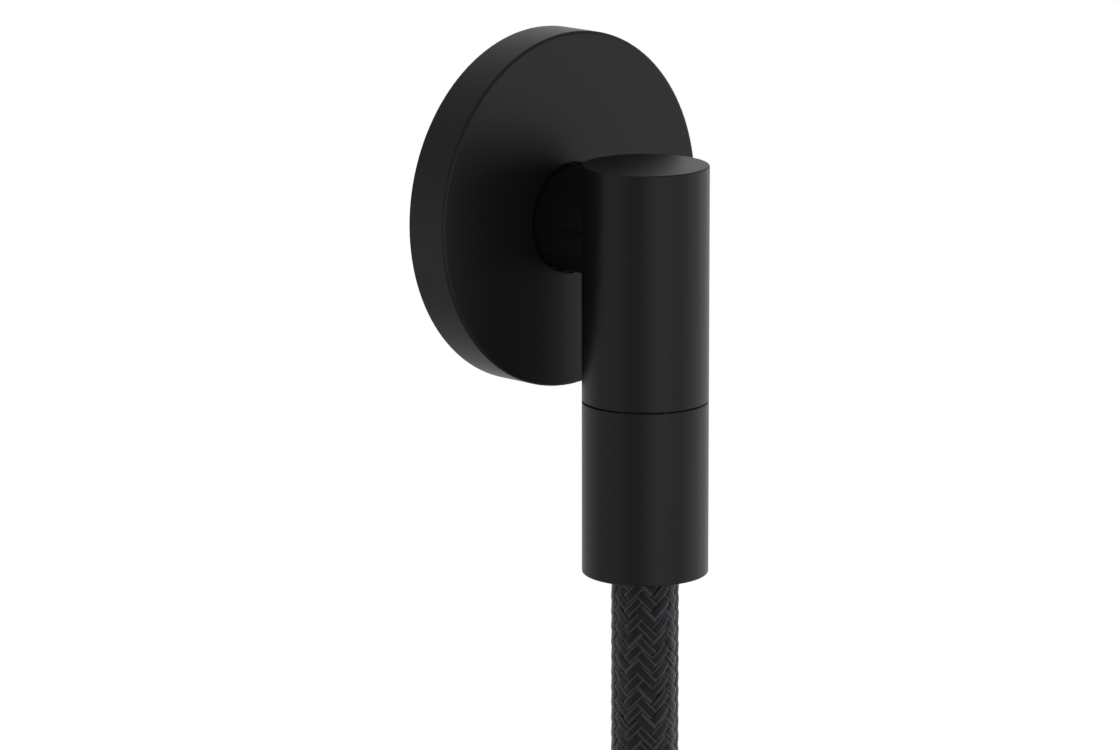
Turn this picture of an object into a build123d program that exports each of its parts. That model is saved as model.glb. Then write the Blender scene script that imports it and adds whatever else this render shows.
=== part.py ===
from build123d import *
import math
import os

# Wall outlet elbow: sliding rosette, elbow with check valve, union nut and braided shower hose.
# Millimetres. The origin is on the inlet axis in the wall plane, +Z is up and the room lies towards -Y.

# Elbow: an upright barrel on a neck that comes out of the wall
barrel_diameter = 25.0
barrel_top = 13.1
barrel_length = 46.9
barrel_reach = 29.6
barrel_top_edge = 0.3
joint_edge = 0.25
neck_diameter = 21.0
water_bore = 12.0
drill_tip_angle = 118.0
waterway_overrun = 3.0

# Half-inch pipe threads, drawn at their crests
thread_diameter = 20.955
thread_chamfer = 1.0
thread_relief_depth = 1.3
thread_relief_width = 2.0
thread_clearance = 0.06
inlet_thread_length = 15.0
inlet_thread_start = 2.0
outlet_thread_length = 10.0

# Rosette, whose middle sits a little above the inlet axis
rosette_diameter = 70.8
rosette_depth = 9.5
rosette_offset = 1.65
rosette_face_wall = 3.2
rosette_rim_wall = 3.4
rosette_edge = 0.6
rosette_corner = 1.2
rosette_bore_clearance = 0.7
rosette_hub_wall = 3.6
rosette_hub_setback = 1.5
o_ring_front_lip = 1.1
o_ring_groove_depth = 1.3
o_ring_groove_play = 0.3
o_ring_fit = 0.05
wall_seal_width = 1.7
wall_seal_thickness = 2.0

# Check valve cartridge in the outlet
valve_bore = 15.2
valve_fit = 0.1
valve_length = 17.0
valve_head_room = 0.3
valve_flange_diameter = 17.0
valve_flange_thickness = 1.2
valve_seat_wall = 4.5
valve_port = 8.0
valve_chamber = 12.4
valve_ring_groove_depth = 1.4
valve_ring_groove_width = 2.3
valve_ring_groove_top = 1.1
valve_ring_fit = 0.05
poppet_travel = 2.5
poppet_seat_gap = 0.05
poppet_seal_diameter = 10.6
poppet_seal_hole = 4.4
poppet_seal_thickness = 1.2
poppet_head_diameter = 10.4
poppet_head_thickness = 1.6
poppet_button_diameter = 6.4
poppet_button_thickness = 1.0
poppet_stem_diameter = 3.0
poppet_stem_tail = 0.4
poppet_shoulder_diameter = 4.4
poppet_stop_gap = 0.05
stem_fit = 0.08
guide_setback = 0.6
guide_height = 2.4
guide_hub_wall = 1.3
guide_rim_wall = 0.9
guide_rib_width = 1.4
guide_rib_count = 3
guide_fit = 0.03
spring_wire = 0.5
spring_diameter = 6.4
spring_turns = 5
spring_end_gap = 0.05

# Hose ends: washer, barbed tail and crimped sleeve, the same at both ends
washer_thickness = 2.0
washer_hole = 11.0
washer_play = 1.2
tail_flange_thickness = 2.0
tail_bore = 5.6
tail_wall = 1.7
tail_barb_length = 14.4
tail_barb_count = 3
tail_barb_depth = 0.45
tail_fit = 0.05
sleeve_top_gap = 0.4
sleeve_lip = 1.0
sleeve_length = 17.0
sleeve_play = 0.3
sleeve_fit = 0.05
sleeve_crimp_count = 3
sleeve_crimp_depth = 0.35
sleeve_crimp_width = 2.2

# Union nut on the elbow and cone nut at the far end
nut_length = 34.65
nut_bore = 17.0
nut_bottom_edge = 0.3
nut_mouth_chamfer = 0.6
nut_relief_depth = 0.3
cone_nut_tip_diameter = 19.0
cone_nut_band = 11.0
cone_nut_float = 0.1

# Hose, its coil and the straps that hold the coil
hose_diameter = 13.1
hose_bore = 8.8
coil_radius = 70.0
coil_turns = 3
coil_pitch = 13.8
coil_drop = 231.6
coil_back = 15.5
coil_wind_start = 32.2
coil_cover = 0.05
strap_width = 12.0
strap_thickness = 1.3
strap_gap = 0.25
strap_angles = {"upper": 350.0, "lower": 190.0}

# Route of the hose, from its upper end inside the nut: right, back and up of that point.
# First the hang from the nut into the coil, then the end that leaves the coil in front.
drop_route = [
    (0.0, 0.0, 0.0),
    (0.0, 0.0, -66.0),
    (0.0, 4.2, -92.7),
    (1.2, 11.7, -118.6),
    (9.6, 15.4, -143.9),
    (25.9, 15.8, -165.2),
    (47.7, 15.1, -178.9),
    (62.9, 14.4, -198.4),
    (70.4, 13.6, -221.9),
]
end_route = [
    (26.9, -25.5, -165.8),
    (47.7, -27.6, -178.9),
    (62.9, -33.0, -198.5),
    (70.4, -39.3, -220.9),
    (71.0, -46.5, -248.9),
    (71.0, -46.5, -278.9),
]
arc_share = 0.45
edge_tolerance = 0.001

# Sizes and places that follow from those above
barrel_radius = barrel_diameter / 2
neck_radius = neck_diameter / 2
thread_radius = thread_diameter / 2
joint_height = barrel_top - barrel_length
outlet_end = joint_height - outlet_thread_length
rosette_radius = rosette_diameter / 2
rosette_bore_radius = neck_radius + rosette_bore_clearance
hub_radius = rosette_bore_radius + o_ring_groove_depth + rosette_hub_wall
o_ring_space = rosette_bore_clearance + o_ring_groove_depth - 2 * o_ring_fit
washer_radius = thread_radius - washer_play
nut_bore_radius = nut_bore / 2
fitting_height = outlet_end - washer_thickness
sleeve_top = -tail_flange_thickness - sleeve_top_gap
hose_top = sleeve_top - sleeve_lip
hose_radius = hose_diameter / 2
tail_collar_radius = tail_bore / 2 + tail_wall
hose_start = Vector(0, -barrel_reach, fitting_height + hose_top)
nut_crest = washer_thickness + outlet_thread_length

ABOVE = (Align.CENTER, Align.CENTER, Align.MIN)
BARREL_AXIS = Pos(0, -barrel_reach, 0)
TO_WALL = Rot(-90, 0, 0)
TO_ROOM = Rot(90, 0, 0)


def turned(outline):
    """A turned piece: a closed outline of (radius, height) points, spun round the Z axis."""
    return revolve(make_face(Plane.XZ * Polyline(*outline, close=True)), Axis.Z)


def rod(radius, low, high):
    """A round bar on the Z axis between two heights."""
    return Pos(0, 0, low) * Cylinder(radius, high - low, align=ABOVE)


def ring(outer, inner, low, high):
    """A plain ring on the Z axis between two heights."""
    return rod(outer, low, high) - rod(inner, low, high)


def edges_at(shape, height):
    """The edges of a shape that lie flat at one height."""
    return shape.edges().filter_by_position(Axis.Z, height - edge_tolerance, height + edge_tolerance)


def threaded_end(foot, tip):
    """A thread's bar on the Z axis from foot to tip, with its relief groove and lead chamfer."""
    way = math.copysign(1, tip - foot)
    root = thread_radius - thread_relief_depth
    groove_end = foot + way * thread_relief_width
    slope_end = groove_end + way * thread_relief_depth
    return turned([
        (0, foot),
        (root, foot),
        (root, groove_end),
        (thread_radius, slope_end),
        (thread_radius, tip - way * thread_chamfer),
        (thread_radius - thread_chamfer, tip),
        (0, tip),
    ])


def make_elbow_body():
    barrel = rod(barrel_radius, joint_height, barrel_top)
    barrel = fillet(edges_at(barrel, barrel_top), barrel_top_edge)
    barrel = fillet(edges_at(barrel, joint_height), joint_edge)
    barrel += threaded_end(joint_height, outlet_end)
    relief_front = -inlet_thread_start - thread_relief_width
    neck = rod(neck_radius, -barrel_reach, relief_front)
    neck += threaded_end(relief_front, inlet_thread_length)
    body = BARREL_AXIS * barrel + TO_WALL * neck
    bore_radius = water_bore / 2
    tip_height = bore_radius / math.tan(math.radians(drill_tip_angle / 2))
    valve_shoulder = outlet_end + valve_length + valve_head_room
    counterbore_top = outlet_end + valve_flange_thickness
    counterbore_radius = valve_flange_diameter / 2 + valve_fit
    waterway = turned([
        (0, outlet_end),
        (counterbore_radius, outlet_end),
        (counterbore_radius, counterbore_top),
        (valve_bore / 2, counterbore_top),
        (valve_bore / 2, valve_shoulder),
        (bore_radius, valve_shoulder),
        (bore_radius, waterway_overrun),
        (0, waterway_overrun + tip_height),
    ])
    inlet = rod(bore_radius, -barrel_reach, inlet_thread_length)
    return body - BARREL_AXIS * waterway - TO_WALL * inlet


def make_rosette():
    middle = Pos(0, rosette_offset, 0)
    pocket_depth = rosette_depth - rosette_face_wall
    pocket_radius = rosette_radius - rosette_rim_wall
    shell = rod(rosette_radius, 0, rosette_depth)
    shell = fillet(edges_at(shell, rosette_depth), rosette_edge)
    pocket = rod(pocket_radius, 0, pocket_depth)
    pocket = fillet(edges_at(pocket, pocket_depth), rosette_corner)
    rebate = rod(pocket_radius + wall_seal_width, 0, wall_seal_thickness)
    hub = rod(hub_radius, rosette_hub_setback, pocket_depth)
    cover = middle * (shell - pocket - rebate) + hub
    groove_front = rosette_depth - o_ring_front_lip
    groove_back = groove_front - o_ring_space - o_ring_groove_play
    cover -= rod(rosette_bore_radius, 0, rosette_depth)
    cover -= rod(rosette_bore_radius + o_ring_groove_depth, groove_back, groove_front)
    return TO_ROOM * cover


def make_rosette_o_ring():
    section_radius = o_ring_space / 2
    middle_radius = neck_radius + o_ring_fit + section_radius
    height = rosette_depth - o_ring_front_lip - section_radius - o_ring_groove_play / 2
    return TO_ROOM * (Pos(0, 0, height) * Torus(middle_radius, section_radius))


def make_rosette_wall_seal():
    inner = rosette_radius - rosette_rim_wall
    return TO_ROOM * (Pos(0, rosette_offset, 0) * ring(inner + wall_seal_width, inner, 0, wall_seal_thickness))


def valve_at_outlet(piece):
    """Stand a valve piece, drawn up from the cartridge's foot, in the outlet."""
    return Pos(0, -barrel_reach, outlet_end) * piece


def make_valve_housing():
    skin = valve_bore / 2 - valve_fit
    seat = valve_length - valve_seat_wall
    groove_top = valve_length - valve_ring_groove_top
    groove_root = valve_bore / 2 - valve_ring_groove_depth
    housing = turned([
        (valve_chamber / 2, 0),
        (valve_flange_diameter / 2, 0),
        (valve_flange_diameter / 2, valve_flange_thickness),
        (skin, valve_flange_thickness),
        (skin, groove_top - valve_ring_groove_width),
        (groove_root, groove_top - valve_ring_groove_width),
        (groove_root, groove_top),
        (skin, groove_top),
        (skin, valve_length),
        (valve_port / 2, valve_length),
        (valve_port / 2, seat),
        (valve_chamber / 2, seat),
    ])
    return valve_at_outlet(housing)


def make_valve_o_ring():
    section_radius = (valve_ring_groove_depth - 2 * valve_ring_fit) / 2
    middle_radius = valve_bore / 2 - valve_ring_fit - section_radius
    height = valve_length - valve_ring_groove_top - valve_ring_groove_width / 2
    return valve_at_outlet(Pos(0, 0, height) * Torus(middle_radius, section_radius))


def poppet_heights():
    """Heights of the poppet's seal, head and guide above the cartridge's foot, valve shut."""
    seal_top = valve_length - valve_seat_wall - poppet_seat_gap
    head_top = seal_top - poppet_seal_thickness
    head_foot = head_top - poppet_head_thickness
    guide_top = guide_setback + guide_height
    return seal_top, head_top, head_foot, guide_top


def make_valve_poppet():
    seal_top, head_top, head_foot, guide_top = poppet_heights()
    neck = poppet_seal_hole / 2
    stem = poppet_stem_diameter / 2
    shoulder = poppet_shoulder_diameter / 2
    stop = guide_top + poppet_travel + poppet_stop_gap
    poppet = turned([
        (0, guide_setback + poppet_stem_tail),
        (stem, guide_setback + poppet_stem_tail),
        (stem, stop),
        (shoulder, stop),
        (shoulder, head_foot),
        (poppet_head_diameter / 2, head_foot),
        (poppet_head_diameter / 2, head_top),
        (neck, head_top),
        (neck, seal_top),
        (poppet_button_diameter / 2, seal_top),
        (neck, seal_top + poppet_button_thickness),
        (0, seal_top + poppet_button_thickness),
    ])
    return valve_at_outlet(poppet)


def make_valve_poppet_seal():
    seal_top, head_top, _, _ = poppet_heights()
    return valve_at_outlet(ring(poppet_seal_diameter / 2, poppet_seal_hole / 2, head_top, seal_top))


def make_valve_guide():
    rim = valve_chamber / 2 - guide_fit
    hub = poppet_stem_diameter / 2 + stem_fit + guide_hub_wall
    top = guide_setback + guide_height
    guide = ring(rim, rim - guide_rim_wall, guide_setback, top)
    reach = rim - guide_rim_wall / 2
    for turn in range(guide_rib_count):
        rib = Pos(reach / 2, 0, guide_setback) * Box(reach, guide_rib_width, guide_height, align=ABOVE)
        guide += Rot(0, 0, turn * 360 / guide_rib_count) * rib
    guide += rod(hub, guide_setback, top)
    guide -= rod(poppet_stem_diameter / 2 + stem_fit, guide_setback, top)
    return valve_at_outlet(guide)


def make_valve_spring():
    _, _, head_foot, guide_top = poppet_heights()
    low = guide_top + spring_end_gap + spring_wire / 2
    high = head_foot - spring_end_gap - spring_wire / 2
    coil_line = spring_diameter / 2 - spring_wire / 2
    line = Helix((high - low) / spring_turns, high - low, coil_line, center=(0, 0, low))
    wire = sweep(Plane(line @ 0, z_dir=line % 0) * Circle(spring_wire / 2), path=line)
    return valve_at_outlet(wire)


def make_washer():
    return ring(washer_radius, washer_hole / 2, 0, washer_thickness)


def make_tail():
    """Barbed insert of a hose end. Its flange's outer face is at height 0 and the hose lies below."""
    outer = hose_bore / 2 - tail_fit
    root = outer - tail_barb_depth
    barb = tail_barb_length / tail_barb_count
    outline = [
        (tail_bore / 2, 0),
        (washer_radius, 0),
        (washer_radius, -tail_flange_thickness),
        (tail_collar_radius, -tail_flange_thickness),
        (tail_collar_radius, hose_top),
    ]
    for count in range(tail_barb_count):
        foot = hose_top - count * barb
        outline += [(outer, foot), (root, foot - barb)]
    outline += [(tail_bore / 2, hose_top - tail_barb_length)]
    return turned(outline)


def make_sleeve():
    """Crimped sleeve over a hose end, with a lip that hooks behind the tail's collar."""
    outer = nut_bore_radius - sleeve_play
    foot = sleeve_top - sleeve_length
    sleeve = rod(outer, foot, sleeve_top)
    sleeve -= rod(hose_radius + sleeve_fit, foot, hose_top)
    sleeve -= rod(tail_collar_radius + sleeve_fit, foot, sleeve_top)
    step = (sleeve_length - sleeve_lip) / (sleeve_crimp_count + 1)
    for count in range(sleeve_crimp_count):
        middle = hose_top - step * (count + 1)
        low = middle - sleeve_crimp_width / 2
        sleeve -= ring(nut_bore_radius, outer - sleeve_crimp_depth, low, low + sleeve_crimp_width)
    return sleeve


def nut_inside(shoulder):
    """The hollow of a nut: thread, relief for the washer, shoulder for the tail's flange, hose bore."""
    thread_bore = thread_radius + thread_clearance
    relief = thread_bore + nut_relief_depth
    foot = nut_crest - nut_length
    mouth = thread_bore + nut_mouth_chamfer
    return turned([
        (0, foot),
        (nut_bore_radius, foot),
        (nut_bore_radius, shoulder),
        (relief, shoulder),
        (relief, washer_thickness),
        (thread_bore, washer_thickness),
        (thread_bore, nut_crest - nut_mouth_chamfer),
        (mouth, nut_crest),
        (0, nut_crest),
    ])


def make_hose_nut():
    foot = nut_crest - nut_length
    nut = rod(barrel_radius, foot, nut_crest)
    nut = fillet(edges_at(nut, nut_crest), joint_edge)
    nut = fillet(edges_at(nut, foot), nut_bottom_edge)
    return nut - nut_inside(-tail_flange_thickness)


def make_end_nut():
    foot = nut_crest - nut_length
    nut = turned([
        (0, foot),
        (cone_nut_tip_diameter / 2, foot),
        (barrel_radius, nut_crest - cone_nut_band),
        (barrel_radius, nut_crest),
        (0, nut_crest),
    ])
    nut = fillet(edges_at(nut, nut_crest), joint_edge)
    nut = fillet(edges_at(nut, foot), nut_bottom_edge)
    return nut - nut_inside(-tail_flange_thickness - cone_nut_float)


def corner_radii(points):
    """The largest tidy arc for each corner of a route."""
    radii = []
    for before, corner, after in zip(points, points[1:], points[2:]):
        half_turn = math.radians((corner - before).get_angle(after - corner)) / 2
        run = min((corner - before).length, (after - corner).length)
        radii.append(arc_share * run / math.tan(half_turn))
    return radii


def make_hose_run(name, route):
    """A plain tube along a route of straight runs and tangent arcs."""
    points = [hose_start + Vector(*place) for place in route]
    radii = corner_radii(points)
    line = FilletPolyline(*points, radius=radii)
    section = Plane(line @ 0, z_dir=line % 0) * (Circle(hose_radius) - Circle(hose_bore / 2))
    tube = sweep(section, path=line)
    expected = section.area * line.length
    print(name, "arc radii", [round(radius, 1) for radius in radii])
    print(name, "length", round(line.length, 1), "volume ratio", round(tube.volume / expected, 4))
    return tube


def turns_section(first, last, grow):
    """Turns side by side, cut across out to the right of the coil's axis and grown by a margin."""
    thickness = hose_diameter + 2 * grow
    depth = last - first + thickness
    return Plane.XZ * Pos(coil_radius, (first + last) / 2) * SlotOverall(depth, thickness, rotation=90)


def coil_section(grow):
    """All the room that the wound turns take as they step from back to front."""
    return turns_section(-coil_back, coil_turns * coil_pitch - coil_back, grow)


def strapped_section(angle, grow):
    """The turns that a strap holds, at its angle clockwise from the top as the room sees the coil."""
    first = coil_pitch * (angle - coil_wind_start) / 360 - coil_back
    return turns_section(first, first + (coil_turns - 1) * coil_pitch, grow)


def coil_place(piece):
    """Turn a piece drawn round the Z axis to the coil's axis, which points at the room."""
    return Pos(hose_start + Vector(0, 0, -coil_drop)) * TO_ROOM * piece


def coil_arc(section, angle, width):
    """Revolve a section over a width of the coil, with its middle at an angle clockwise from the top."""
    sweep_angle = math.degrees(width / coil_radius)
    return coil_place(Rot(0, 0, 90 - angle - sweep_angle / 2) * revolve(section, Axis.Z, sweep_angle))


def make_hose_coil():
    """The outer shape of the wound turns, drawn in to the turns themselves under each strap."""
    coil = coil_place(revolve(coil_section(coil_cover), Axis.Z))
    for angle in strap_angles.values():
        around = coil_section(strap_gap + strap_thickness) - strapped_section(angle, 0)
        coil -= coil_arc(around, angle, strap_width + 2 * strap_gap)
    return coil


def make_coil_strap(angle):
    """A strap drawn round the turns that lie at its place."""
    band = strapped_section(angle, strap_gap + strap_thickness) - strapped_section(angle, strap_gap)
    return coil_arc(band, angle, strap_width)


def at_elbow(piece):
    """Place a piece of a hose end below the elbow's outlet."""
    return Pos(0, -barrel_reach, fitting_height) * piece


def at_far_end(piece):
    """Place a piece of a hose end upside down where the route ends."""
    return Pos(hose_start + Vector(*end_route[-1]) + Vector(0, 0, hose_top)) * Rot(180, 0, 0) * piece


nodes = {
    "elbow_body": make_elbow_body(),
    "rosette": make_rosette(),
    "rosette_o_ring": make_rosette_o_ring(),
    "rosette_wall_seal": make_rosette_wall_seal(),
    "valve_housing": make_valve_housing(),
    "valve_o_ring": make_valve_o_ring(),
    "valve_poppet": make_valve_poppet(),
    "valve_poppet_seal": make_valve_poppet_seal(),
    "valve_guide": make_valve_guide(),
    "valve_spring": make_valve_spring(),
    "outlet_washer": at_elbow(make_washer()),
    "hose_tail": at_elbow(make_tail()),
    "hose_sleeve": at_elbow(make_sleeve()),
    "hose_nut": at_elbow(make_hose_nut()),
    "hose_drop": make_hose_run("hose_drop", drop_route),
    "hose_coil": make_hose_coil(),
    "hose_end": make_hose_run("hose_end", end_route),
    "end_washer": at_far_end(make_washer()),
    "end_tail": at_far_end(make_tail()),
    "end_sleeve": at_far_end(make_sleeve()),
    "end_nut": at_far_end(make_end_nut()),
}
for end, angle in strap_angles.items():
    nodes["coil_strap_" + end] = make_coil_strap(angle)

os.makedirs("parts", exist_ok=True)
for name, piece in nodes.items():
    export_step(piece, os.path.join("parts", name + ".step"))

turn_length = math.hypot(2 * math.pi * coil_radius, coil_pitch)
print("coiled length", round(coil_turns * turn_length, 1))
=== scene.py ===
import math

import bpy
import numpy as np
from mathutils import Matrix, Vector


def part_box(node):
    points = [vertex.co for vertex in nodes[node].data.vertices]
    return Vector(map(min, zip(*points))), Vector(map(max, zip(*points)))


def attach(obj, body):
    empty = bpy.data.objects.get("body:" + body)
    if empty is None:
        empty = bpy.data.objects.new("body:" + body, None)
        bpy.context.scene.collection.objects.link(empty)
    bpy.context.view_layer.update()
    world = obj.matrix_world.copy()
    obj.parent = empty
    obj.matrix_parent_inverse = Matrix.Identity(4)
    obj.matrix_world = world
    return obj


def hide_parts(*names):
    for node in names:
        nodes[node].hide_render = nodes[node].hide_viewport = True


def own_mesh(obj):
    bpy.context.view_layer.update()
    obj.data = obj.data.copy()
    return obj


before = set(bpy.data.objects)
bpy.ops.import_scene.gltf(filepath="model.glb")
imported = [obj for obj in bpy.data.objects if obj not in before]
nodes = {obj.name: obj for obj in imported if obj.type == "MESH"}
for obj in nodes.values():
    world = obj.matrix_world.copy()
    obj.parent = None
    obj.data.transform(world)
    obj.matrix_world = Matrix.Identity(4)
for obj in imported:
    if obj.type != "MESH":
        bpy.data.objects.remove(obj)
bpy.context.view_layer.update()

# Wall outlet elbow with its braided shower hose. Metres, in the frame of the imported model.
MM = 0.001
smooth_angle = math.radians(35)
merge_distance = 0.001 * MM

# Camera of the photograph: focal length in its pixels, place, turn to the side, tilt down and roll
image_width = 1120
focal_pixels = 5474.9
sensor_width = 36.0
camera_place = Vector((-754.186, -759.087, 202.203)) * MM
camera_turn = math.radians(-45.039)
camera_tilt = math.radians(12.415)
camera_roll = math.radians(-0.101)

# Studio: soft boxes by name, turn from the camera's side, rise, width and strength
light_target = Vector((0.0, -30.0, -20.0)) * MM
light_distance = 1.6
soft_boxes = [
    ("front_right_box", 26, -8, 1.3, 2.25),
    ("right_box", 72, -12, 1.3, 0.92),
    ("far_right_box", 104, -12, 1.3, 0.95),
    ("back_right_box", 134, -18, 1.4, 0.45),
    ("left_box", -58, -12, 1.2, 0.95),
    ("far_left_box", -102, -12, 1.4, 0.37),
    ("top_box", 0, 82, 1.3, 0.5),
]
room_light = 0.45
floor_radius = 0.75
floor_height = -0.42
floor_sides = 96
floor_lift = 0.3
floor_glow = 0.92

# Hose: its route from the upper end, right, back and up of that point, as the solids have it
hose_radius = 6.55 * MM
hose_start = Vector((0.0, -29.6, -49.2)) * MM
hang_points = [
    (0.0, 0.0, 0.0),
    (0.0, 0.0, -42.0),
    (0.0, 0.0, -66.0),
    (0.0, 4.2, -92.7),
    (1.2, 11.7, -118.6),
    (9.6, 15.4, -143.9),
    (25.9, 15.8, -165.2),
    (47.7, 15.1, -178.9),
    (62.9, 14.4, -198.4),
    (70.4, 13.6, -221.9),
]
tail_points = [
    (26.9, -25.5, -165.8),
    (47.7, -27.6, -178.9),
    (62.9, -33.0, -198.5),
    (70.4, -39.3, -220.9),
    (71.0, -46.5, -248.9),
    (71.0, -46.5, -278.9),
]
coil_radius = 70.0
coil_pitch = 13.8
coil_back = 15.5
coil_drop = 231.6
coil_zero_angle = 32.2
coil_first_angle = 102.2
coil_last_angle = 1082.2
coil_step = 20.0
line_steps = 24
liner_radius = 5.75 * MM
liner_roundness = 5

# Braid over the hose: two families of flat bundles that go over two and under two
bundle_count = 14
bundle_pitch = 3.12 * MM
bundle_middle = 6.29 * MM
bundle_fill = 0.93
bundle_crown = 0.08 * MM
bundle_foot = 0.7
bundle_edge = 0.4
weave_lift = 0.28 * MM
weave_slope = 2.0
braid_twist = 2 * math.pi / (bundle_count * bundle_pitch)
braid_lead = math.atan(braid_twist * bundle_middle)
braid_turn = math.radians(-3.63)
braid_shift = 1.16 * MM
braid_start = 16.0 * MM
braid_fine_end = 58.5 * MM
braid_end_cover = 17.0 * MM
braid_smooth_angle = math.radians(45)

# A filament's round back, as shares of its width and height, and the slate filaments that each
# kind of bundle has among the black ones: the first one and how many, in one group or two
filament_count = 6
filament_thick = 0.30 * MM
filament_back = ((0.0, bundle_edge), (0.2, 0.85), (0.5, 1.0), (0.8, 0.85))
bundle_kinds = [
    [(0, 1), (5, 1)],
    [(0, 1), (4, 1)],
    [(0, 2)],
    [(1, 1), (5, 1)],
    [(0, 1), (5, 1)],
    [(4, 2)],
    [(0, 1), (5, 1)],
]

# Cuts along a bundle, in crossings: even ones where it shows, and few ones in each four on the rest
fine_steps_per_crossing = 4
plain_cuts = (-0.25, 0.5, 1.25, 1.75, 2.5, 3.25)
plain_cut_margin = 0.1
plain_piece_count = 4

# Pipe thread: 55 degrees between its flanks. A groove in the inlet, a ridge in the far nut
thread_pitch = 1.814 * MM
thread_flank = math.tan(math.radians(27.5))
thread_flat = 0.33 * MM
thread_steps = 48
groove_root = 9.35 * MM
groove_top = 10.70 * MM
groove_start = -3.2 * MM
groove_turns = 11
ridge_foot = 10.60 * MM
ridge_tip = 9.40 * MM
ridge_start = -342.2 * MM
ridge_turns = 4
end_axis = Vector((71.0, -76.1, 0.0)) * MM

# Elbow: its barrel, the fine gap above the nut, and where the coat gives way to bare brass
barrel_reach = 29.6 * MM
barrel_radius = 12.5 * MM
joint_height = -33.8 * MM
joint_gap = 0.24 * MM
joint_depth = 0.6 * MM
joint_margin = 0.5 * MM
joint_sides = 192
brass_start = -4.0 * MM
water_radius = 6.3 * MM
water_top = 11.0 * MM
valve_radius = 8.3 * MM

# Spring of the check valve: its wire and winding, with its height taken from the part
spring_wire = 0.5 * MM
spring_sides = 16
spring_line = 2.95 * MM
spring_turns = 5
spring_steps = 32

# Straps round the coil, at these angles from its top, each with its end lapped over on the outside
strap_angles = {"upper": 350.0, "lower": 190.0}
strap_width = 12.0 * MM
strap_thickness = 1.2 * MM
strap_gap = 0.3 * MM
strap_layer = 1.25 * MM
strap_lap = 0.5 * coil_pitch * MM
strap_flat_share = 0.9
strap_flat_reach = 1.2 * coil_pitch * MM
strap_flat_cuts = 5
strap_sides = 48
strap_edge = 0.25 * MM
strap_edge_steps = 2


def to_linear(code):
    """Turn an sRGB hex colour into the linear colour that a shader takes."""
    parts = [int(code[i:i + 2], 16) / 255 for i in (1, 3, 5)]
    return [p / 12.92 if p <= 0.04045 else ((p + 0.055) / 1.055) ** 2.4 for p in parts] + [1.0]


def add_node(tree, kind, settings=None, inputs=None):
    """Add a node with its settings. An input is a plain value, or the socket that it is linked to."""
    made = tree.nodes.new(kind)
    for name, value in (settings or {}).items():
        setattr(made, name, value)
    for name, value in (inputs or {}).items():
        if isinstance(value, bpy.types.NodeSocket):
            tree.links.new(value, made.inputs[name])
        else:
            made.inputs[name].default_value = value
    return made


def new_material(name):
    """An empty material with its output, ready for its shader."""
    made = bpy.data.materials.new(name)
    made.use_nodes = True
    made.node_tree.nodes.clear()
    output = add_node(made.node_tree, "ShaderNodeOutputMaterial")
    return made, made.node_tree, output


def direction(turn, rise):
    """A direction by its turn to the right of the wall's front and its rise."""
    return Vector((math.sin(turn) * math.cos(rise), -math.cos(turn) * math.cos(rise), math.sin(rise)))


def deselect_all():
    """Leave nothing selected, before a piece is added or picked."""
    bpy.ops.object.select_all(action="DESELECT")


def make_active(piece):
    """Select one piece alone, for the operators that follow."""
    deselect_all()
    piece.select_set(True)
    bpy.context.view_layer.objects.active = piece


def apply_place():
    """Put the active piece's place, turn and scale into its mesh."""
    bpy.ops.object.transform_apply(location=True, rotation=True, scale=True)


def apply_modifier(piece, kind, **settings):
    """Add a modifier with its settings and apply it."""
    made = piece.modifiers.new(kind.lower(), kind)
    for name, value in settings.items():
        setattr(made, name, value)
    bpy.ops.object.modifier_apply(modifier=made.name)


def face_outward(close_ends=False):
    """Turn the active piece's faces outwards, after its open ends are closed where that is asked."""
    bpy.ops.object.mode_set(mode="EDIT")
    bpy.ops.mesh.select_all(action="SELECT")
    if close_ends:
        bpy.ops.mesh.fill_holes(sides=0)
    bpy.ops.mesh.normals_make_consistent(inside=False)
    bpy.ops.object.mode_set(mode="OBJECT")


def select_points(piece, test):
    """In edit mode, select the points that pass the test and nothing else."""
    bpy.ops.object.mode_set(mode="EDIT")
    bpy.ops.mesh.select_mode(type="VERT")
    bpy.ops.mesh.select_all(action="DESELECT")
    bpy.ops.object.mode_set(mode="OBJECT")
    for point in piece.data.vertices:
        point.select = test(point.co)
    bpy.ops.object.mode_set(mode="EDIT")


def wear(piece, *materials):
    """Give a piece its materials, in place of any that it has."""
    piece.data.materials.clear()
    for material in materials:
        piece.data.materials.append(material)


# Materials


def powder_coat_black():
    # Satin black polyester powder coat, cured smooth: a faint orange peel and a soft, even sheen
    material, tree, output = new_material("powder_coat_black")
    place = add_node(tree, "ShaderNodeTexCoord")
    peel = add_node(tree, "ShaderNodeTexNoise", inputs={
        "Vector": place.outputs["Object"], "Scale": 1 / (0.8 * MM), "Detail": 2.0})
    sheen = add_node(tree, "ShaderNodeMapRange", inputs={
        "Value": peel.outputs["Fac"], "To Min": 0.36, "To Max": 0.40})
    bump = add_node(tree, "ShaderNodeBump", inputs={
        "Height": peel.outputs["Fac"], "Strength": 0.05, "Distance": 0.02 * MM})
    shader = add_node(tree, "ShaderNodeBsdfPrincipled", inputs={
        "Base Color": to_linear("#0d0d0d"), "Roughness": sheen.outputs["Result"],
        "Specular IOR Level": 0.1, "Normal": bump.outputs["Normal"]})
    tree.links.new(shader.outputs["BSDF"], output.inputs["Surface"])
    return material


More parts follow.
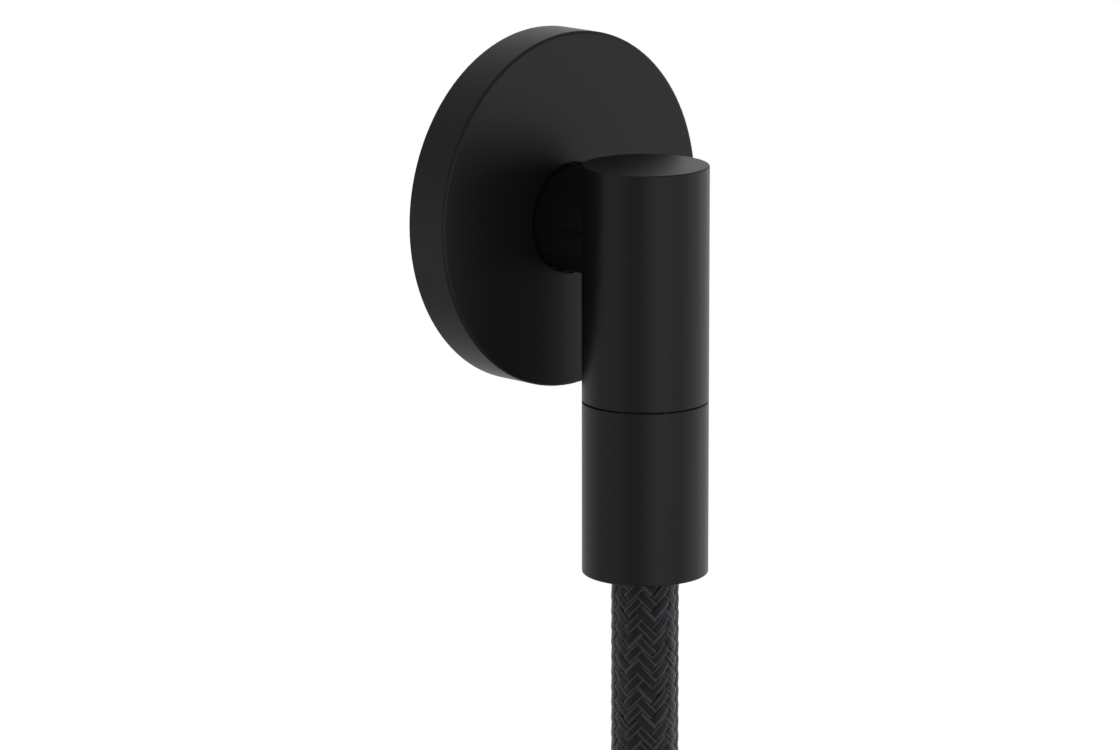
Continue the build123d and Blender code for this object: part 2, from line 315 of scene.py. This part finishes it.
def turned_brass():
    # Bare brass left by the lathe: warm yellow metal with fine tool lines along the cut,
    # six of them to a millimetre and each about 2.5 mm long
    material, tree, output = new_material("turned_brass")
    place = add_node(tree, "ShaderNodeTexCoord")
    stretch = add_node(tree, "ShaderNodeMapping", inputs={
        "Vector": place.outputs["Object"], "Scale": (0.4 / MM, 6 / MM, 6 / MM)})
    lines = add_node(tree, "ShaderNodeTexNoise", inputs={
        "Vector": stretch.outputs["Vector"], "Scale": 1.0, "Detail": 2.0})
    colour = add_node(tree, "ShaderNodeMix", settings={"data_type": "RGBA"}, inputs={
        "Factor": lines.outputs["Fac"], 6: to_linear("#a98546"), 7: to_linear("#cba866")})
    polish = add_node(tree, "ShaderNodeMapRange", inputs={
        "Value": lines.outputs["Fac"], "To Min": 0.24, "To Max": 0.4})
    shader = add_node(tree, "ShaderNodeBsdfPrincipled", inputs={
        "Base Color": colour.outputs[2], "Metallic": 1.0, "Roughness": polish.outputs["Result"]})
    tree.links.new(shader.outputs["BSDF"], output.inputs["Surface"])
    return material


def epdm_rubber():
    # Moulded black EPDM rubber: deep black, dull, with a slight bloom
    material, tree, output = new_material("epdm_rubber")
    place = add_node(tree, "ShaderNodeTexCoord")
    bloom = add_node(tree, "ShaderNodeTexNoise", inputs={
        "Vector": place.outputs["Object"], "Scale": 1 / (2.0 * MM), "Detail": 3.0})
    colour = add_node(tree, "ShaderNodeMix", settings={"data_type": "RGBA"}, inputs={
        "Factor": bloom.outputs["Fac"], 6: to_linear("#0f0f10"), 7: to_linear("#1b1b1c")})
    shader = add_node(tree, "ShaderNodeBsdfPrincipled", inputs={
        "Base Color": colour.outputs[2], "Roughness": 0.55})
    tree.links.new(shader.outputs["BSDF"], output.inputs["Surface"])
    return material


def cell_foam():
    # Closed-cell neoprene foam, cut from sheet: matt charcoal with open cut cells, each cell painted
    # darker in its sunken middle as painted shade in its hollow
    material, tree, output = new_material("cell_foam")
    place = add_node(tree, "ShaderNodeTexCoord")
    cells = add_node(tree, "ShaderNodeTexVoronoi", inputs={
        "Vector": place.outputs["Object"], "Scale": 1 / (0.45 * MM)})
    # Painted shade: the colour darkens towards each cell's middle, where the bump below sinks it
    colour = add_node(tree, "ShaderNodeMix", settings={"data_type": "RGBA"}, inputs={
        "Factor": cells.outputs["Distance"], 6: to_linear("#1a1a1b"), 7: to_linear("#38393b")})
    bump = add_node(tree, "ShaderNodeBump", inputs={
        "Height": cells.outputs["Distance"], "Strength": 0.5, "Distance": 0.1 * MM})
    shader = add_node(tree, "ShaderNodeBsdfPrincipled", inputs={
        "Base Color": colour.outputs[2], "Roughness": 0.85, "Normal": bump.outputs["Normal"]})
    tree.links.new(shader.outputs["BSDF"], output.inputs["Surface"])
    return material


def acetal_white():
    # Injection-moulded natural acetal: milky white, slightly waxy
    material, tree, output = new_material("acetal_white")
    place = add_node(tree, "ShaderNodeTexCoord")
    flow = add_node(tree, "ShaderNodeTexNoise", inputs={
        "Vector": place.outputs["Object"], "Scale": 1 / (4.0 * MM), "Detail": 1.0})
    colour = add_node(tree, "ShaderNodeMix", settings={"data_type": "RGBA"}, inputs={
        "Factor": flow.outputs["Fac"], 6: to_linear("#dcdad2"), 7: to_linear("#ebe9e2")})
    shader = add_node(tree, "ShaderNodeBsdfPrincipled", inputs={
        "Base Color": colour.outputs[2], "Roughness": 0.38, "Subsurface Weight": 0.1,
        "Subsurface Radius": (1.0 * MM, 1.0 * MM, 0.8 * MM)})
    tree.links.new(shader.outputs["BSDF"], output.inputs["Surface"])
    return material


def drawn_steel(name, code, roughness):
    # Drawn stainless steel: cool grey metal with fine lines left by the die, five of them to a
    # millimetre and each about 3 mm long
    material, tree, output = new_material(name)
    place = add_node(tree, "ShaderNodeTexCoord")
    stretch = add_node(tree, "ShaderNodeMapping", inputs={
        "Vector": place.outputs["Object"], "Scale": (5 / MM, 5 / MM, 0.3 / MM)})
    lines = add_node(tree, "ShaderNodeTexNoise", inputs={
        "Vector": stretch.outputs["Vector"], "Scale": 1.0, "Detail": 2.0})
    polish = add_node(tree, "ShaderNodeMapRange", inputs={
        "Value": lines.outputs["Fac"], "To Min": roughness - 0.07, "To Max": roughness + 0.07})
    shader = add_node(tree, "ShaderNodeBsdfPrincipled", inputs={
        "Base Color": to_linear(code), "Metallic": 1.0, "Roughness": polish.outputs["Result"]})
    tree.links.new(shader.outputs["BSDF"], output.inputs["Surface"])
    return material


def hose_liner():
    # Extruded black PVC inner hose, seen only as darkness between the bundles
    material, tree, output = new_material("hose_liner")
    place = add_node(tree, "ShaderNodeTexCoord")
    tone = add_node(tree, "ShaderNodeTexNoise", inputs={
        "Vector": place.outputs["Object"], "Scale": 1 / (3.0 * MM)})
    colour = add_node(tree, "ShaderNodeMix", settings={"data_type": "RGBA"}, inputs={
        "Factor": tone.outputs["Fac"], 6: to_linear("#08080a"), 7: to_linear("#0e0e10")})
    shader = add_node(tree, "ShaderNodeBsdfPrincipled", inputs={
        "Base Color": colour.outputs[2], "Roughness": 0.7})
    tree.links.new(shader.outputs["BSDF"], output.inputs["Surface"])
    return material


def braid_yarn(name, slate_groups, plain):
    # Polyester monofilament laid side by side in a flat bundle, black with a few slate filaments.
    # Glossy round filaments catch the light at their sides. U runs across the bundle, from 0 to 1
    material, tree, output = new_material(name)
    place = add_node(tree, "ShaderNodeTexCoord")
    across = add_node(tree, "ShaderNodeSeparateXYZ", inputs={"Vector": place.outputs["UV"]})
    groups = [add_node(tree, "ShaderNodeMath", settings={"operation": "COMPARE"}, inputs={
        0: across.outputs["X"], 1: (first + count / 2) / filament_count, 2: count / 2 / filament_count})
        for first, count in slate_groups]
    slate = add_node(tree, "ShaderNodeMath", settings={"operation": "MAXIMUM"}, inputs={
        0: groups[0].outputs[0], 1: groups[-1].outputs[0]})
    tone = add_node(tree, "ShaderNodeTexNoise", inputs={
        "Vector": place.outputs["Object"], "Scale": 1 / (1.5 * MM), "Detail": 1.0})
    dark = add_node(tree, "ShaderNodeMix", settings={"data_type": "RGBA"}, inputs={
        "Factor": tone.outputs["Fac"], 6: to_linear("#0f0f10"), 7: to_linear("#161617")})
    colour = add_node(tree, "ShaderNodeMix", settings={"data_type": "RGBA"}, inputs={
        "Factor": slate.outputs[0], 6: dark.outputs[2], 7: to_linear("#303237")})
    shader = add_node(tree, "ShaderNodeBsdfPrincipled", inputs={
        "Base Color": colour.outputs[2], "Roughness": 0.34, "Specular IOR Level": 0.07,
        "Sheen Weight": 0.8, "Sheen Roughness": 0.36})
    if plain:
        # Drawn plainly, a bundle has its filaments as bump and no dark grooves, so it shines less
        shader.inputs["Specular IOR Level"].default_value = 0.1
        shader.inputs["Sheen Weight"].default_value = 0.2
        wave = add_node(tree, "ShaderNodeMath", settings={"operation": "PINGPONG"}, inputs={
            0: across.outputs["X"], 1: 0.5 / filament_count})
        bump = add_node(tree, "ShaderNodeBump", inputs={
            "Height": wave.outputs[0], "Strength": 0.6, "Distance": filament_thick * filament_count})
        tree.links.new(bump.outputs["Normal"], shader.inputs["Normal"])
    tree.links.new(shader.outputs["BSDF"], output.inputs["Surface"])
    return material


def loop_strap():
    # Black nylon hook-and-loop strap: matt woven back with a short fuzzy nap
    material, tree, output = new_material("loop_strap")
    place = add_node(tree, "ShaderNodeTexCoord")
    nap = add_node(tree, "ShaderNodeTexNoise", inputs={
        "Vector": place.outputs["Object"], "Scale": 1 / (0.35 * MM), "Detail": 4.0})
    colour = add_node(tree, "ShaderNodeMix", settings={"data_type": "RGBA"}, inputs={
        "Factor": nap.outputs["Fac"], 6: to_linear("#121213"), 7: to_linear("#2c2c2e")})
    bump = add_node(tree, "ShaderNodeBump", inputs={
        "Height": nap.outputs["Fac"], "Strength": 0.6, "Distance": 0.15 * MM})
    shader = add_node(tree, "ShaderNodeBsdfPrincipled", inputs={
        "Base Color": colour.outputs[2], "Roughness": 0.9, "Sheen Weight": 0.3,
        "Normal": bump.outputs["Normal"]})
    tree.links.new(shader.outputs["BSDF"], output.inputs["Surface"])
    return material


coat = powder_coat_black()
brass = turned_brass()
rubber = epdm_rubber()
liner = hose_liner()
for name, material in {
    "rosette": coat, "hose_nut": coat, "end_nut": coat,
    "rosette_o_ring": rubber, "valve_o_ring": rubber, "valve_poppet_seal": rubber,
    "outlet_washer": rubber, "end_washer": rubber, "rosette_wall_seal": cell_foam(),
    "hose_tail": brass, "end_tail": brass,
}.items():
    wear(nodes[name], material)
crimp = drawn_steel("crimp_steel", "#a9abad", 0.36)
acetal = acetal_white()
for name in ("hose_sleeve", "end_sleeve"):
    wear(nodes[name], crimp)
for name in ("valve_housing", "valve_poppet", "valve_guide"):
    wear(nodes[name], acetal)


# Hose


def route_points():
    """The route's control points: the hang, the turns of the coil and the end that hangs from it."""
    points = [Vector(p) for p in hang_points]
    reach = coil_radius / math.cos(math.radians(coil_step / 2))
    angle = coil_first_angle
    while angle <= coil_last_angle + coil_step / 2:
        turn = math.radians(angle)
        points.append(Vector((
            reach * math.sin(turn),
            coil_back - coil_pitch * (angle - coil_zero_angle) / 360,
            reach * math.cos(turn) - coil_drop,
        )))
        angle += coil_step
    points += [Vector(p) for p in tail_points]
    return [hose_start + p * MM for p in points]


def make_hose_line():
    """The hose's centre line as one smooth spline over the route's points."""
    data = bpy.data.curves.new("hose_liner", "CURVE")
    data.dimensions = "3D"
    data.resolution_u = line_steps
    spline = data.splines.new("NURBS")
    points = route_points()
    spline.points.add(len(points) - 1)
    for point, place in zip(spline.points, points):
        point.co = (*place, 1.0)
    spline.order_u = 3
    spline.use_endpoint_u = True
    line = bpy.data.objects.new("hose_liner", data)
    bpy.context.scene.collection.objects.link(line)
    return line


def line_frames(line):
    """Points along the line with their distance and two cross directions that don't twist."""
    bare = bpy.data.meshes.new_from_object(line)
    points = np.array([v.co for v in bare.vertices])
    bpy.data.meshes.remove(bare)
    runs = np.linalg.norm(np.diff(points, axis=0), axis=1)
    along = np.concatenate([[0.0], np.cumsum(runs)])
    ahead = np.gradient(points, along, axis=0)
    ahead /= np.linalg.norm(ahead, axis=1)[:, None]
    side = np.empty_like(points)
    side[0] = direction(camera_turn, 0.0)
    for i in range(1, len(points)):
        side[i] = side[i - 1] - ahead[i] * np.dot(side[i - 1], ahead[i])
        side[i] /= np.linalg.norm(side[i])
    across = np.cross(side, ahead)
    return along, points, side, across


def bundle_profile(fine):
    """A bundle cut across: (offset, height, u) points, clockwise from its lower left corner."""
    width = 2 * math.pi * bundle_middle / bundle_count * math.cos(braid_lead) * bundle_fill
    half = filament_thick / 2
    left = -width / 2
    foot = -half
    if fine:
        foot -= bundle_crown
        back = []
        for i in range(filament_count):
            for share, rise in filament_back:
                place = left + (i + share) * (width / filament_count)
                drop = bundle_crown * (place / left) ** 2
                back.append((place, half * rise - drop, (i + share) / filament_count))
        back.append((-left, half * bundle_edge - bundle_crown, 1.0))
    else:
        back = [(left, half * bundle_edge, 0.0), (0.0, half, 0.5), (-left, half * bundle_edge, 1.0)]
    return np.array([(left * bundle_foot, foot, 0.0)] + back + [(-left * bundle_foot, foot, 1.0)])


def even_stations(first, last):
    """Stations of the finely drawn length: evenly spaced, a few to each crossing."""
    step = bundle_pitch / 2 / fine_steps_per_crossing
    return np.linspace(first, last, round((last - first) / step) + 1)


def crossing_stations(first, last, hand, index):
    """Stations of the plainly drawn length: where each bundle lifts, crests and dives."""
    crossing = bundle_pitch / 2
    ends = np.sort(2 * index + hand * (np.array([first, last]) - braid_shift) / crossing)
    cycles = np.arange(math.floor(ends[0] / 4), math.ceil(ends[1] / 4) + 1)
    marks = (4 * cycles[:, None] + np.array(plain_cuts)).ravel()
    spots = np.sort(braid_shift + hand * (marks - 2 * index) * crossing)
    near = crossing * plain_cut_margin
    inner = spots[(spots > first + near) & (spots < last - near)]
    return np.concatenate([[first], inner, [last]])


def bundle_places(frames, stations, profile, hand, index):
    """Places of one bundle's points, a row for each station, as it winds and weaves along the line."""
    along, points, side, across = frames
    s = stations[:, None]
    offset, height = profile.T[:2, None, :]
    turn = hand * braid_twist * (s - braid_shift) + 2 * math.pi * index / bundle_count
    turn = turn + offset * math.cos(braid_lead) / bundle_middle
    spot = s - hand * offset * math.sin(braid_lead)
    other = (turn + hand * braid_twist * (spot - braid_shift)) * bundle_count / (2 * math.pi)
    phase = index + other
    lift = weave_lift * np.clip(weave_slope * np.cos(math.pi / 2 * (phase - 0.5)), -1, 1) * hand
    radius = bundle_middle + lift + height
    angle = turn + braid_turn
    spot = np.clip(spot, along[0], along[-1])
    places = np.zeros(spot.shape + (3,))
    for axis in range(3):
        middle = np.interp(spot, along, points[:, axis])
        out = np.cos(angle) * np.interp(spot, along, side[:, axis])
        out = out + np.sin(angle) * np.interp(spot, along, across[:, axis])
        places[..., axis] = middle + radius * out
    return places


def make_braid(name, frames, first, last, fine, materials):
    """One length of the braid between two distances along the line, each bundle a closed bar."""
    profile = bundle_profile(fine)
    size = len(profile)
    ring = np.arange(size)
    after = (ring + 1) % size
    verts, faces, uvs, slots = [], [], [], []
    base = 0
    for hand in (1, -1):
        for index in range(bundle_count):
            stations = even_stations(first, last) if fine else crossing_stations(first, last, hand, index)
            count = len(stations)
            verts.append(bundle_places(frames, stations, profile, hand, index).reshape(-1, 3))
            row = base + np.arange(count - 1)[:, None] * size
            quad = np.stack([row + ring, row + size + ring, row + size + after, row + after], -1)
            faces += quad.reshape(-1, 4).tolist()
            faces.append((base + ring).tolist())
            faces.append((base + (count - 1) * size + ring[::-1]).tolist())
            slots += [(index * 2 + (hand < 0)) % len(materials)] * ((count - 1) * size + 2)
            v_run = np.broadcast_to(stations[:, None] / bundle_pitch, (count, size))
            u_run = np.broadcast_to(profile[:, 2], (count, size))
            uvs.append(np.stack([u_run, v_run], -1).reshape(-1, 2))
            base += count * size
    mesh = bpy.data.meshes.new(name)
    mesh.from_pydata(np.concatenate(verts), [], faces)
    layer = mesh.uv_layers.new(name="across_bundle")
    corner_verts = np.empty(len(mesh.loops), dtype=np.int32)
    mesh.loops.foreach_get("vertex_index", corner_verts)
    layer.data.foreach_set("uv", np.concatenate(uvs)[corner_verts].ravel())
    for material in materials:
        mesh.materials.append(material)
    mesh.polygons.foreach_set("material_index", np.array(slots, dtype=np.int32))
    piece = bpy.data.objects.new(name, mesh)
    bpy.context.scene.collection.objects.link(piece)
    make_active(piece)
    face_outward()
    bpy.ops.object.shade_smooth_by_angle(angle=braid_smooth_angle)
    return piece


hose_line = make_hose_line()
hose_frames = line_frames(hose_line)
hose_run = float(hose_frames[0][-1])
fine_yarns = [braid_yarn("braid_yarn_%d" % i, kind, False) for i, kind in enumerate(bundle_kinds)]
plain_yarns = [braid_yarn("braid_yarn_far_%d" % i, kind, True) for i, kind in enumerate(bundle_kinds)]
braid_pieces = [make_braid("hose_braid_upper", hose_frames, braid_start, braid_fine_end, True, fine_yarns)]
cuts = np.linspace(braid_fine_end, hose_run - braid_end_cover, plain_piece_count + 1)
for number, (first, last) in enumerate(zip(cuts, cuts[1:]), 1):
    braid_pieces.append(make_braid("hose_braid_%d" % number, hose_frames, first, last, False, plain_yarns))

# The line gets its round body only now, because the braid is wound on the bare line
hose_line.data.bevel_depth = liner_radius
hose_line.data.bevel_resolution = liner_roundness
hose_line.data.use_fill_caps = True
wear(hose_line, liner)


# Threads, spring and straps


def add_thread(name, foot, tip, start, turns):
    """A helical bar about the Y axis, thread_flat wide at its tip and wider by the flanks at its foot."""
    deselect_all()
    bpy.ops.mesh.primitive_plane_add(size=1, location=((foot + tip) / 2, start, 0))
    bar = bpy.context.object
    bar.name = name
    bar.scale = (abs(foot - tip), thread_flat, 1)
    apply_place()
    foot_width = thread_flat + 2 * abs(foot - tip) * thread_flank
    select_points(bar, lambda co: abs(co.x - foot) < abs(co.x - tip))
    bpy.ops.transform.resize(value=(1, foot_width / thread_flat, 1), center_override=(foot, start, 0))
    bpy.ops.mesh.select_all(action="SELECT")
    bpy.ops.mesh.delete(type="ONLY_FACE")
    bpy.ops.object.mode_set(mode="OBJECT")
    apply_modifier(bar, "SCREW", axis="Y", screw_offset=thread_pitch, iterations=turns,
                   steps=thread_steps, render_steps=thread_steps)
    face_outward(close_ends=True)
    return bar


def add_joint_ring():
    """A flat ring that cuts the shadow gap between the barrel and the nut below it."""
    deselect_all()
    bpy.ops.mesh.primitive_cylinder_add(
        vertices=joint_sides, radius=barrel_radius + joint_margin, depth=joint_gap,
        location=(0, -barrel_reach, joint_height + joint_gap / 2))
    ring = bpy.context.object
    ring.name = "joint_ring"
    apply_place()
    bpy.ops.object.mode_set(mode="EDIT")
    bpy.ops.mesh.select_mode(type="FACE")
    bpy.ops.mesh.select_all(action="DESELECT")
    bpy.ops.object.mode_set(mode="OBJECT")
    for face in ring.data.polygons:
        face.select = abs(face.normal.z) > 0.5
    bpy.ops.object.mode_set(mode="EDIT")
    bpy.ops.mesh.inset(thickness=joint_margin + joint_depth, use_individual=True)
    bpy.ops.mesh.bridge_edge_loops()
    face_outward()
    return ring


def make_threaded_elbow():
    """The elbow with its inlet thread cut, brass in the waterway and at the threads, coated elsewhere."""
    cutters = [
        add_thread("thread_groove", groove_top, groove_root, groove_start, groove_turns),
        add_joint_ring(),
    ]
    elbow = bpy.data.objects.new("elbow_threaded", nodes["elbow_body"].data.copy())
    bpy.context.scene.collection.objects.link(elbow)
    make_active(elbow)
    bpy.ops.mesh.customdata_custom_splitnormals_clear()
    bpy.ops.object.mode_set(mode="EDIT")
    bpy.ops.mesh.select_all(action="SELECT")
    bpy.ops.mesh.remove_doubles(threshold=merge_distance)
    bpy.ops.object.mode_set(mode="OBJECT")
    for cutter in cutters:
        apply_modifier(elbow, "BOOLEAN", operation="DIFFERENCE", object=cutter, solver="EXACT")
        bpy.data.objects.remove(cutter)
    wear(elbow, coat, brass)
    for face in elbow.data.polygons:
        x, y, z = face.center
        bare = y > brass_start or z < joint_height
        in_inlet = math.hypot(x, z) < water_radius and y > -barrel_reach
        in_barrel = math.hypot(x, y + barrel_reach) < valve_radius and z < water_top
        face.material_index = int(bare or in_inlet or in_barrel)
    bpy.ops.object.shade_smooth_by_angle(angle=smooth_angle)
    apply_modifier(elbow, "WEIGHTED_NORMAL", keep_sharp=True)
    return elbow


def make_spring():
    """The valve's wound wire spring between the guide and the poppet's head."""
    low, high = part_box("valve_spring")
    height = high[2] - low[2]
    deselect_all()
    bpy.ops.mesh.primitive_circle_add(
        vertices=spring_sides, radius=spring_wire / 2, location=(spring_line, 0, 0),
        rotation=(math.pi / 2, 0, 0))
    spring = bpy.context.object
    spring.name = "valve_spring_wire"
    apply_place()
    apply_modifier(spring, "SCREW", axis="Z", screw_offset=(height - spring_wire) / spring_turns,
                   iterations=spring_turns, steps=spring_steps, render_steps=spring_steps)
    face_outward(close_ends=True)
    spring.location = (0, -barrel_reach, low[2] + spring_wire / 2)
    apply_place()
    bpy.ops.object.shade_smooth_by_angle(angle=smooth_angle)
    wear(spring, drawn_steel("spring_wire", "#b4b6b8", 0.3))
    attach(spring, "elbow")
    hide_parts("valve_spring")
    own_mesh(spring)


def make_end_thread():
    """The thread inside the nut at the hose's far end."""
    ridge = add_thread("end_nut_thread", ridge_foot, ridge_tip, 0.0, ridge_turns)
    ridge.rotation_euler = (math.pi / 2, 0, 0)
    ridge.location = end_axis + Vector((0, 0, ridge_start))
    apply_place()
    bpy.ops.object.shade_smooth_by_angle(angle=smooth_angle)
    wear(ridge, coat)
    return ridge


def make_strap(name, angle, webbing):
    """A strap drawn round the turns of the coil, with its end lapped over on the outside."""
    turn = math.radians(angle)
    outward = Vector((math.sin(turn), 0, math.cos(turn)))
    back = coil_back - coil_pitch * ((angle - coil_zero_angle) / 360 + 1)
    middle = hose_start + Vector((0, back, -coil_drop)) * MM + outward * coil_radius * MM
    radius = hose_radius + strap_gap + strap_thickness / 2
    deselect_all()
    bpy.ops.mesh.primitive_cylinder_add(
        vertices=strap_sides, radius=radius, depth=strap_width, end_fill_type="NOTHING",
        location=middle, rotation=(0, math.atan2(math.cos(turn), -math.sin(turn)), 0))
    strap = bpy.context.object
    strap.name = name
    apply_place()
    select_points(strap, lambda co: co.y > middle.y)
    bpy.ops.transform.translate(value=(0, coil_pitch * MM, 0))
    bpy.ops.mesh.select_all(action="INVERT")
    bpy.ops.transform.translate(value=(0, -coil_pitch * MM, 0))
    # The flat stretch on the outside is divided, and its upper part is doubled as the lapped end
    centre = middle.dot(outward)
    flat = centre + radius * strap_flat_share
    select_points(strap, lambda co: co.dot(outward) > flat and abs(co.y - middle.y) < strap_flat_reach)
    bpy.ops.mesh.subdivide(number_cuts=strap_flat_cuts)
    select_points(strap, lambda co: co.dot(outward) > centre and co.y > middle.y - strap_lap)
    bpy.ops.mesh.duplicate_move()
    bpy.ops.transform.shrink_fatten(value=strap_layer)
    bpy.ops.object.mode_set(mode="OBJECT")
    apply_modifier(strap, "SOLIDIFY", thickness=strap_thickness, offset=0.0)
    apply_modifier(strap, "BEVEL", width=strap_edge, segments=strap_edge_steps)
    bpy.ops.object.shade_smooth_by_angle(angle=smooth_angle)
    wear(strap, webbing)
    return strap


threaded_elbow = make_threaded_elbow()
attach(threaded_elbow, "elbow")
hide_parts("elbow_body")
make_spring()
end_thread = make_end_thread()
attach(end_thread, "end_nut")
strap_webbing = loop_strap()
for place, angle in strap_angles.items():
    strap = make_strap("strap_" + place, angle, strap_webbing)
    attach(strap, "elbow")
    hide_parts("coil_strap_" + place)

for piece in [hose_line] + braid_pieces:
    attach(piece, "elbow")
    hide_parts("hose_drop", "hose_coil", "hose_end")


# Stage


def make_floor():
    """A round white board below the part."""
    bpy.ops.mesh.primitive_circle_add(
        vertices=floor_sides, radius=floor_radius, fill_type="NGON", location=(0, 0, floor_height))
    floor = bpy.context.object
    floor.name = "floor"
    # Matt white board that keeps the shadow, lifted a little for the camera towards the backdrop's
    # white. In reflections it is about as white as the backdrop
    material, tree, output = new_material("floor_board")
    path = add_node(tree, "ShaderNodeLightPath")
    board = add_node(tree, "ShaderNodeBsdfPrincipled", inputs={
        "Base Color": to_linear("#f4f4f4"), "Roughness": 0.8})
    lift = add_node(tree, "ShaderNodeMath", settings={"operation": "MULTIPLY"}, inputs={
        0: path.outputs["Is Camera Ray"], 1: floor_lift})
    veil = add_node(tree, "ShaderNodeEmission", inputs={
        "Color": (1, 1, 1, 1), "Strength": lift.outputs[0]})
    seen = add_node(tree, "ShaderNodeAddShader", inputs={0: board.outputs["BSDF"], 1: veil.outputs[0]})
    white = add_node(tree, "ShaderNodeEmission", inputs={
        "Color": to_linear("#f4f4f4"), "Strength": floor_glow})
    mixed = add_node(tree, "ShaderNodeMixShader", inputs={
        0: path.outputs["Is Glossy Ray"], 1: seen.outputs[0], 2: white.outputs[0]})
    tree.links.new(mixed.outputs[0], output.inputs["Surface"])
    wear(floor, material)


def make_light(name, turn, rise, size, strength):
    """A square soft box turned to the part, as bright as a white card of that strength."""
    out = direction(camera_turn + math.radians(turn), math.radians(rise))
    deselect_all()
    bpy.ops.object.light_add(
        type="AREA", location=light_target + out * light_distance,
        rotation=out.to_track_quat("Z", "Y").to_euler())
    light = bpy.context.object
    light.name = name
    light.data.size = size
    light.data.energy = strength * math.pi * size * size
    light.visible_camera = False


def make_world():
    """White all round for the camera and in reflections, and a softer light on surfaces."""
    world = bpy.data.worlds.new("studio")
    bpy.context.scene.world = world
    world.use_nodes = True
    tree = world.node_tree
    tree.nodes.clear()
    path = add_node(tree, "ShaderNodeLightPath")
    mirrored = add_node(tree, "ShaderNodeMath", settings={"operation": "MAXIMUM"}, inputs={
        0: path.outputs["Is Glossy Ray"], 1: path.outputs["Is Transmission Ray"]})
    seen = add_node(tree, "ShaderNodeMath", settings={"operation": "MAXIMUM"}, inputs={
        0: path.outputs["Is Camera Ray"], 1: mirrored.outputs[0]})
    white = add_node(tree, "ShaderNodeBackground", inputs={"Color": (1, 1, 1, 1), "Strength": 1.0})
    room = add_node(tree, "ShaderNodeBackground", inputs={"Color": (1, 1, 1, 1), "Strength": room_light})
    mixed = add_node(tree, "ShaderNodeMixShader", inputs={
        0: seen.outputs[0], 1: room.outputs[0], 2: white.outputs[0]})
    output = add_node(tree, "ShaderNodeOutputWorld")
    tree.links.new(mixed.outputs[0], output.inputs["Surface"])


def make_camera():
    """The photograph's own camera."""
    back = direction(camera_turn, camera_tilt)
    right = Vector((math.cos(camera_turn), math.sin(camera_turn), 0.0))
    up = back.cross(right)
    rolled_right = right * math.cos(camera_roll) + up * math.sin(camera_roll)
    rolled_up = up * math.cos(camera_roll) - right * math.sin(camera_roll)
    data = bpy.data.cameras.new("photo_camera")
    data.sensor_width = sensor_width
    data.lens = focal_pixels / image_width * sensor_width
    camera = bpy.data.objects.new("photo_camera", data)
    facing = Matrix((rolled_right, rolled_up, back)).transposed().to_4x4()
    camera.matrix_world = Matrix.Translation(camera_place) @ facing
    bpy.context.scene.collection.objects.link(camera)
    bpy.context.scene.camera = camera


make_floor()
make_world()
for light in soft_boxes:
    make_light(*light)
make_camera()
bpy.context.scene.view_settings.view_transform = "Standard"
